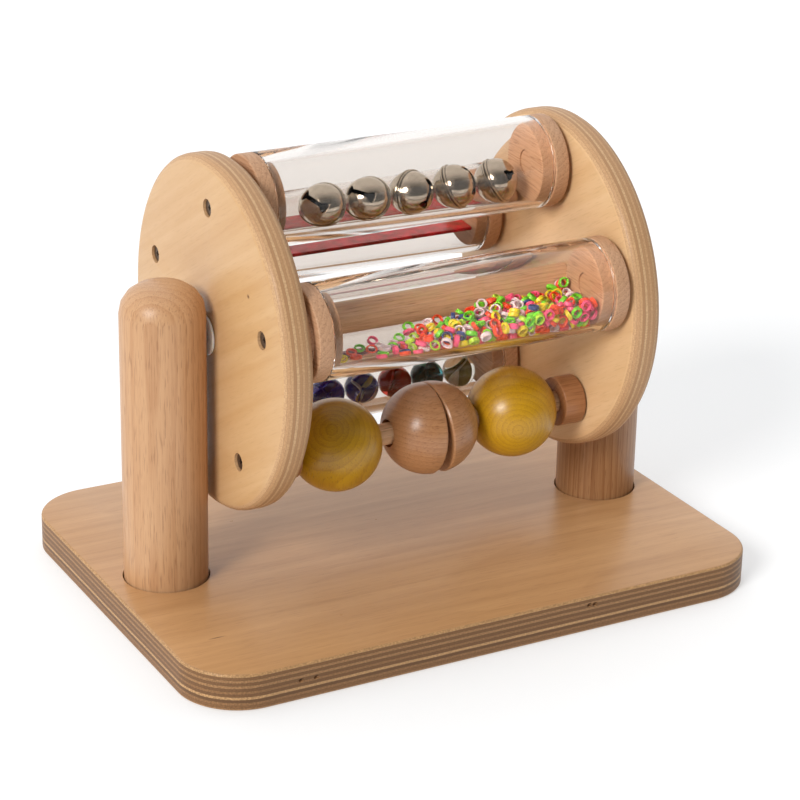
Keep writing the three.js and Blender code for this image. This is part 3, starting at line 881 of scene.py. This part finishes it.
def add_bells(nickel, steel):
    place = station("bells")
    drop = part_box("bell_tube")[1].z - place.z - TUBE_WALL - BELL_SEAM_RADIUS - 0.6 * MM
    shell, hollow = bell_mesh()
    for index, turns in enumerate(BELL_TURNS):
        node = f"bell_{index + 1}"
        centre, _ = extent(f"bell_pellet_{index + 1}")
        bell = to_object(lathe(shell, SMALL_SIDES * 2, "Z"), node + "_shell")
        cut(bell, [lathe(hollow, SMALL_SIDES * 2, "Z")])
        cut(bell, slot_cutter())
        bell.location = (centre.x, place.y, place.z - drop)
        bell.rotation_mode = "ZYX"
        bell.rotation_euler = [math.radians(angle) for angle in turns]
        fit(bell, node, nickel)
        pellet_node = f"bell_pellet_{index + 1}"
        radius = extent(pellet_node)[1].x / 2
        ball = lathe(arc(0, radius, 180, 0, 20), SMALL_SIDES)
        fit(to_object(ball, pellet_node + "_round", centre), pellet_node, steel)


def vane(radius, twist, width, seed):
    """A thin twisted ribbon for the middle of a marble."""
    draw = random.Random(seed)
    mesh = bmesh.new()
    steps, across = 28, 8
    thick = 0.22 * MM
    wave = draw.uniform(0.6, 1.3)
    sheets = []
    for level in (-1, 1):
        sheet = []
        for step in range(steps + 1):
            along = (2 * step / steps - 1) * radius * 0.82
            half = width * math.sqrt(max(0, 1 - (along / (radius * 0.86)) ** 2))
            turn = twist * step / steps
            row = []
            for item in range(across + 1):
                side = (2 * item / across - 1) * half
                lift = level * thick + 0.12 * half * math.sin(wave * math.pi * side / width)
                row.append(mesh.verts.new((
                    along,
                    side * math.cos(turn) - lift * math.sin(turn),
                    side * math.sin(turn) + lift * math.cos(turn),
                )))
            sheet.append(row)
        sheets.append(sheet)
    lower, upper = sheets
    strips = [pair for sheet in sheets for pair in zip(sheet, sheet[1:])]
    strips += [(lower[step], upper[step]) for step in (0, steps)]
    for item in (0, across):
        strips.append([[row[item] for row in sheet] for sheet in sheets])
    for near, far in strips:
        for index in range(len(near) - 1):
            mesh.faces.new((near[index], near[index + 1], far[index + 1], far[index]))
    bmesh.ops.recalc_face_normals(mesh, faces=mesh.faces)
    return mesh


def add_marbles(looks):
    """Glass marbles, each with coloured ribbons twisted through its middle."""
    for seed, (node, (glass, ribbons)) in enumerate(looks.items()):
        centre, size = extent(node)
        radius = max(size) / 2
        draw = random.Random(40 + seed)
        ball = to_object(lathe(arc(0, radius, 180, 0, 40), SIDES), node + "_glass", centre)
        fit(ball, node, glass)
        for number, ribbon in enumerate(ribbons):
            width = radius * draw.uniform(0.45, 0.72)
            twist = draw.uniform(1.2, 3.0)
            mesh = vane(radius, twist, width, seed * 10 + number)
            inside = to_object(mesh, f"{node}_ribbon_{number + 1}")
            inside.data.materials.append(ribbon)
            inside.location = centre
            inside.rotation_euler = [draw.uniform(0, math.tau) for _ in range(3)]
            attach(inside, BODY_OF[node])


def add_slat(material):
    """Loose slat with rounded long edges."""
    centre, size = extent("red_slat")
    mesh = bmesh.new()
    bmesh.ops.create_grid(mesh, x_segments=60, y_segments=16, size=0.5)
    bmesh.ops.scale(mesh, verts=mesh.verts, vec=(size.x, size.y, 1))
    top = bmesh.ops.extrude_face_region(mesh, geom=mesh.faces[:])
    lifted = [item for item in top["geom"] if isinstance(item, bmesh.types.BMVert)]
    bmesh.ops.translate(mesh, verts=lifted, vec=(0, 0, size.z))
    bmesh.ops.translate(mesh, verts=mesh.verts, vec=(0, 0, -size.z / 2))
    bmesh.ops.recalc_face_normals(mesh, faces=mesh.faces)
    slat = to_object(mesh, "red_slat_plate", centre)
    modifier = slat.modifiers.new("edges", "BEVEL")
    modifier.width = 0.45 * MM
    modifier.segments = 3
    modifier.limit_method = "ANGLE"
    fit(slat, "red_slat", material)


def ring_mesh():
    """One small plastic ring, with its corners broken."""
    half = RING_HEIGHT / 2
    soft = 0.25 * MM
    outline = [
        (-half, RING_BORE + soft), (-half, RING_RADIUS - soft),
        (soft - half, RING_RADIUS), (half - soft, RING_RADIUS),
        (half, RING_RADIUS - soft), (half, RING_BORE + soft),
        (half - soft, RING_BORE), (soft - half, RING_BORE),
    ]
    return lathe([Vector(point) for point in outline], 18, closed=True)


def heap_depth(x):
    """Depth of the heap's surface below its tube's axis at a place along the tube."""
    for (x_a, depth_a), (x_b, depth_b) in zip(HEAP_PROFILE, HEAP_PROFILE[1:]):
        if x <= x_b:
            return depth_a + (depth_b - depth_a) * (x - x_a) / (x_b - x_a)
    return HEAP_PROFILE[-1][1]


def heap_area(x, bore):
    """Area of the heap across the tube at a place along it."""
    depth = heap_depth(x)
    return bore ** 2 * math.acos(depth / bore) - depth * math.sqrt(bore ** 2 - depth ** 2)


def make_solid(item, group, shape, margin, **settings):
    """Adds an object to the settling run."""
    group.objects.link(item)
    body = item.rigid_body
    body.collision_shape = shape
    body.use_margin = True
    body.collision_margin = margin
    for key, value in settings.items():
        setattr(body, key, value)


def settled_rings(bore, half_length):
    """Drops the rings into the tube's bore and returns where each one comes to rest."""
    draw = random.Random(7)
    scene = bpy.context.scene
    bpy.ops.rigidbody.world_add()
    world = scene.rigidbody_world
    group = bpy.data.collections.new("settling")
    scene.collection.children.link(group)
    world.collection = group
    world.substeps_per_frame = 12
    world.solver_iterations = 20
    world.point_cache.frame_start = 1
    world.point_cache.frame_end = SETTLE_FRAMES

    channel = cylinder(-half_length, half_length, bore, SIDES)
    bmesh.ops.reverse_faces(channel, faces=channel.faces)
    bmesh.ops.scale(channel, verts=channel.verts, vec=(SETTLE_SCALE,) * 3)
    data = bpy.data.meshes.new("channel")
    channel.to_mesh(data)
    channel.free()
    trough = bpy.data.objects.new("channel", data)
    make_solid(trough, group, "MESH", 0.01, type="PASSIVE", friction=0.8)

    ring = ring_mesh()
    bmesh.ops.scale(ring, verts=ring.verts, vec=(SETTLE_SCALE,) * 3)
    hull = bpy.data.meshes.new("ring_hull")
    ring.to_mesh(hull)
    ring.free()

    areas = []
    for step in range(int(2 * half_length / MM)):
        x = -half_length / MM + step + 0.5
        areas.append((x, heap_area(x, bore / MM) ** HEAP_BIAS))
    total = sum(area for _, area in areas)
    falling = []
    passed, made = 0.0, 0
    for x, area in areas:
        passed += area / total * RING_COUNT
        while made < passed and made < RING_COUNT:
            row = made % 9
            height = -13 + 3.1 * row
            width = 7 if height < -8 else 11
            place = Vector((x + draw.uniform(-1, 1), draw.uniform(-width, width), height)) * MM
            item = bpy.data.objects.new("falling", hull)
            item.location = place * SETTLE_SCALE
            item.rotation_euler = [draw.uniform(0, math.tau) for _ in range(3)]
            make_solid(item, group, "CONVEX_HULL", 0.005, friction=0.7, restitution=0.0,
                       linear_damping=0.2, angular_damping=0.4)
            falling.append(item)
            made += 1
    for step in range(1, SETTLE_FRAMES + 1):
        scene.frame_set(step)
    graph = bpy.context.evaluated_depsgraph_get()
    rest = [item.evaluated_get(graph).matrix_world.copy() for item in falling]
    for item in falling + [trough]:
        bpy.data.objects.remove(item)
    bpy.ops.rigidbody.world_remove()
    bpy.data.collections.remove(group)
    bpy.data.meshes.remove(hull)
    scene.frame_set(1)
    small = Matrix.Scale(1 / SETTLE_SCALE, 4)
    return [
        Matrix.Translation(small @ place.to_translation())
        @ place.to_quaternion().to_matrix().to_4x4()
        for place in rest
    ]


def add_rings(materials):
    """The heap of small plastic rings, settled in the tube's bore."""
    _, tube_size = extent("bead_tube")
    bore = tube_size.z / 2 - TUBE_WALL
    half_length = tube_size.x / 2 - PLUG_SPIGOT_LENGTH - CLEARANCE
    draw = random.Random(11)
    data = bpy.data.meshes.new("ring")
    ring = ring_mesh()
    ring.to_mesh(data)
    ring.free()
    heap = bmesh.new()
    for place in settled_rings(bore, half_length):
        if place.to_translation().yz.length > bore:
            continue
        first = len(heap.faces)
        start = len(heap.verts)
        heap.from_mesh(data)
        heap.verts.ensure_lookup_table()
        heap.faces.ensure_lookup_table()
        stretch = Matrix.Diagonal((draw.uniform(0.85, 1.0), draw.uniform(0.85, 1.0), 1, 1))
        bmesh.ops.transform(heap, verts=heap.verts[start:], matrix=place @ stretch)
        tint = draw.choices(range(len(materials)), weights=RING_SHARES)[0]
        for face in heap.faces[first:]:
            face.material_index = tint
    made = to_object(heap, "bead_heap_rings", station("beads"))
    for material in materials:
        made.data.materials.append(material)
    settle(made, "bead_heap")


# ---------------- stage


def add_camera():
    azimuth, elevation, roll = (
        math.radians(angle) for angle in (CAMERA_AZIMUTH, CAMERA_ELEVATION, CAMERA_ROLL)
    )
    back = Vector((
        math.sin(azimuth) * math.cos(elevation),
        -math.cos(azimuth) * math.cos(elevation),
        math.sin(elevation),
    ))
    level = Vector((math.cos(azimuth), math.sin(azimuth), 0))
    upright = back.cross(level)
    right = level * math.cos(roll) + upright * math.sin(roll)
    up = upright * math.cos(roll) - level * math.sin(roll)
    turn = Matrix((right, up, back)).transposed()
    data = bpy.data.cameras.new("camera")
    data.lens = CAMERA_LENS
    data.clip_start = 0.01
    camera = bpy.data.objects.new("camera", data)
    camera.matrix_world = Matrix.Translation(CAMERA_AIM + turn @ CAMERA_OFFSET) @ turn.to_4x4()
    bpy.context.scene.collection.objects.link(camera)
    bpy.context.scene.camera = camera


def add_light(name, azimuth, elevation, angle, strength, tint):
    """A distant soft light. angle is its width in degrees, as seen from the object."""
    data = bpy.data.lights.new(name, "SUN")
    data.angle = math.radians(angle)
    data.energy = strength * math.pi
    data.color = tint
    light = bpy.data.objects.new(name, data)
    a, e = math.radians(azimuth), math.radians(elevation)
    away = Vector((math.sin(a) * math.cos(e), -math.cos(a) * math.cos(e), math.sin(e)))
    light.location = away
    light.rotation_euler = away.to_track_quat("Z", "Y").to_euler()
    bpy.context.scene.collection.objects.link(light)


def add_stage():
    mesh = bmesh.new()
    bmesh.ops.create_grid(mesh, x_segments=1, y_segments=1, size=6)
    floor = to_object(mesh, "floor", (0, 0, -0.1 * MM))
    shader = Shader("floor_paper")
    cloud = shader.noise((3, 3, 3), 2)
    floor.data.materials.append(shader.principled(
        Base_Color=shader.mix(cloud, (0.64, 0.65, 0.66), (0.66, 0.665, 0.67)), Roughness=0.9,
        Emission_Color=(0.98, 0.99, 1.0, 1), Emission_Strength=0.37,
    ))
    scene = bpy.context.scene
    scene.world = bpy.data.worlds.new("studio")
    scene.world.use_nodes = True
    tree = scene.world.node_tree
    direction = tree.nodes.new("ShaderNodeTexCoord").outputs["Generated"]
    along = tree.nodes.new("ShaderNodeVectorMath")
    along.operation = "DOT_PRODUCT"
    along.inputs[1].default_value = BACKDROP_DIRECTION
    tree.links.new(direction, along.inputs[0])
    spread = tree.nodes.new("ShaderNodeMapRange")
    for key, value in BACKDROP_SPREAD.items():
        spread.inputs[key].default_value = value
    spread.interpolation_type = "SMOOTHSTEP"
    tree.links.new(along.outputs["Value"], spread.inputs["Value"])
    tree.links.new(spread.outputs[0], tree.nodes["Background"].inputs["Strength"])
    tree.nodes["Background"].inputs["Color"].default_value = (1.0, 1.0, 1.0, 1)
    scene.view_settings.view_transform = "Standard"
    scene.cycles.max_bounces = 32
    scene.cycles.glossy_bounces = 16
    scene.cycles.transmission_bounces = 32


# ---------------- the object

add_camera()
add_stage()
add_light("key", -62, 28, 22, 0.8, (1.0, 0.985, 0.96))

PALE_BEECH = colour(200, 158, 118)
DEEP_BEECH = colour(172, 124, 84)
BEECH_FLECK = colour(118, 74, 44)

post_wood = wood("post_wood", PALE_BEECH, DEEP_BEECH, BEECH_FLECK, pith=(0.05, 0.06), rings=260,
                 ring_amount=0.3, fleck_amount=0.38)
# The right post's darker copy of the post wood: partly its own tone, partly painted shade where the drum
# shades that post.
right_post_tone_and_painted_shade = wood(
    "right_post_tone_and_painted_shade", colour(182, 138, 96), colour(150, 103, 65), BEECH_FLECK,
    pith=(0.012, 0.022), rings=330, ring_amount=0.5, fleck_amount=0.38)
cross_wood = wood("cross_wood", colour(198, 156, 122), colour(166, 120, 86), BEECH_FLECK,
                  turn=(90, 0, 0), pith=(0.04, 0.05), rings=420, ring_amount=0.3, roughness=0.55, coat=0.0)
# The collars' darker wood is partly their own tone and partly painted shade, as the right collar stands in
# the drum's shade.
collar_wood = wood("collar_wood", colour(166, 114, 74), colour(136, 88, 54), BEECH_FLECK,
                   turn=(0, 90, 0), pith=(0.03, 0.05), rings=380, ring_amount=0.3, coat=0.1)
core_wood = wood("core_wood", colour(236, 192, 150), colour(212, 166, 124), BEECH_FLECK,
                 turn=(0, 90, 0), pith=(0.03, 0.04), rings=320, roughness=0.55, coat=0.0)
YELLOW = (colour(196, 150, 22), colour(170, 120, 12), colour(140, 92, 10))
yellow_left = wood("yellow_stain_left", *YELLOW, turn=(-35, 14, 0), pith=(0.004, 0.003),
                   rings=380, wobble=0.005, ring_amount=0.4, roughness=0.34, coat=0.3)
yellow_right = wood("yellow_stain_right", *YELLOW, turn=(-90, 19, 0), pith=(0.001, 0.001),
                    rings=420, wobble=0.004, ring_amount=0.4, roughness=0.34, coat=0.3)
natural = wood("ball_wood", colour(184, 134, 92), colour(152, 102, 64), BEECH_FLECK,
               turn=(0, 90, 10), pith=(0.05, 0.02), rings=380, ring_amount=0.3,
               roughness=0.34, coat=0.35)

base_low, base_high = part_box("base_board")
base_ply = plywood(
    "base_plywood", 2, base_low.z, base_high.z - base_low.z, 13,
    {"pale": colour(203, 157, 110), "deep": colour(182, 136, 90),
     "fleck": colour(150, 104, 68), "mark": colour(74, 44, 26)},
    {"pale": colour(200, 156, 106), "mid": colour(142, 100, 60),
     "dark": colour(94, 64, 36), "glue": colour(56, 36, 20)},
    (0, 90, 0), [(Vector((-126, -70.4, 18)) * MM, (5 * MM, 0.5 * MM, 3 * MM), 0.85)], 0.3, 0.6)


def disc_ply(side, pale, deep, marks):
    _, size = extent(f"disc_{side}")
    return plywood(
        f"disc_plywood_{side}", 0, -size.x / 2, size.x, 11,
        {"pale": pale, "deep": deep,
         "fleck": colour(172, 128, 86), "mark": colour(84, 50, 30)},
        {"pale": colour(208, 172, 130), "mid": colour(196, 156, 114),
         "dark": colour(168, 126, 88), "glue": colour(116, 78, 48)},
        (-60, 0, 0), marks, 0.36, 0.4)


axle_height = extent("axle_rod")[0].z
disc_half = extent("disc_left")[1].x / 2
knot = (Vector((-disc_half, -45.4 * MM, 169.1 * MM - axle_height)), (3 * MM, 1.6 * MM, 1.2 * MM), 0.9)
# The two discs' veneers differ partly in their own tone and partly as painted light and shade; the right
# one is paler.
disc_woods = {
    "left": disc_ply("left", colour(206, 169, 124), colour(194, 152, 104), [knot]),
    "right": disc_ply("right", colour(222, 187, 144), colour(210, 170, 124), []),
}
steel = metal("bright_steel", (0.62, 0.62, 0.62), 0.3, 0.2)
# Dark brown metal for the disc screws: painted shade, darkened to stand for the shade in their recesses.
screw_metal_painted_shade = metal("screw_zinc_painted_shade", (0.17, 0.13, 0.10), 0.42, 0.35)
nickel = bell_nickel("nickel_plate", (0.58, 0.51, 0.42), 0.17)
nylon = plastic("nylon", colour(246, 244, 240), 0.45, depth=0.92)
acrylic = clear("acrylic", (0.88, 0.845, 0.815), 1.3, 0.03)

add_base(base_ply)
add_posts(post_wood, right_post_tone_and_painted_shade)
for side in ("left", "right"):
    add_screw(f"post_screw_{side}", "Z", steel)
    add_disc(side, disc_woods[side])
    add_bushing(side, nylon)
    for name in STATIONS:
        add_screw(f"disc_screw_{name}_{side}", "X", screw_metal_painted_shade)
add_rod("axle_rod", steel, 0.4 * MM)
add_sleeve("core_dowel", AXLE_BORE_RADIUS, 0.3 * MM, core_wood)
for holder in ("bell", "bead", "marble", "slat"):
    add_sleeve(f"{holder}_tube", extent(f"{holder}_tube")[1].z / 2 - TUBE_WALL, 0.25 * MM, acrylic)
    for side in ("left", "right"):
        add_plug(f"{holder}_tube_plug_{side}", cross_wood)
add_rod("ball_rod", core_wood, 0.4 * MM)
for side in ("left", "right"):
    add_sleeve(f"rod_collar_{side}", ROD_BORE_RADIUS, 0.5 * MM, collar_wood)
add_balls(yellow_left, yellow_right, natural)
add_bells(nickel, steel)



def moulded(kind, tints):
    """One plastic for each named tint."""
    return {name: plastic(f"{kind}_{name}", colour(*tint), 0.3) for name, tint in tints.items()}


def glass(name, tint):
    return clear(f"glass_{name}", tint, 1.5, 0.05)


ribbons = moulded("ribbon", {
    "white": (240, 240, 236), "blue": (24, 50, 160), "red": (170, 20, 28),
    "teal": (14, 110, 120), "yellow": (226, 204, 130), "olive": (120, 124, 60),
})
white, blue, red, teal, yellow, olive = ribbons.values()
add_marbles({
    "marble_blue": (glass("blue", colour(84, 96, 236)), [blue] * 3),
    "marble_swirl": (glass("pale", (0.90, 0.94, 1.0)), [white, blue, blue, yellow]),
    "marble_red": (glass("red", colour(236, 84, 80)), [red] * 3),
    "marble_teal": (glass("teal", colour(90, 176, 188)), [teal] * 3),
    "marble_clear": (glass("plain", (0.93, 0.97, 0.93)), [olive, white]),
})
add_slat(plastic("slat_red", colour(206, 8, 36), 0.2, patch=150, depth=0.45))
rings = moulded("ring", {
    "orange": (255, 84, 40), "pink": (255, 96, 140), "green": (130, 226, 50),
    "yellow": (248, 226, 40), "white": (246, 226, 232), "blue": (70, 84, 140),
    "lime": (190, 232, 60),
})
add_rings(list(rings.values()))
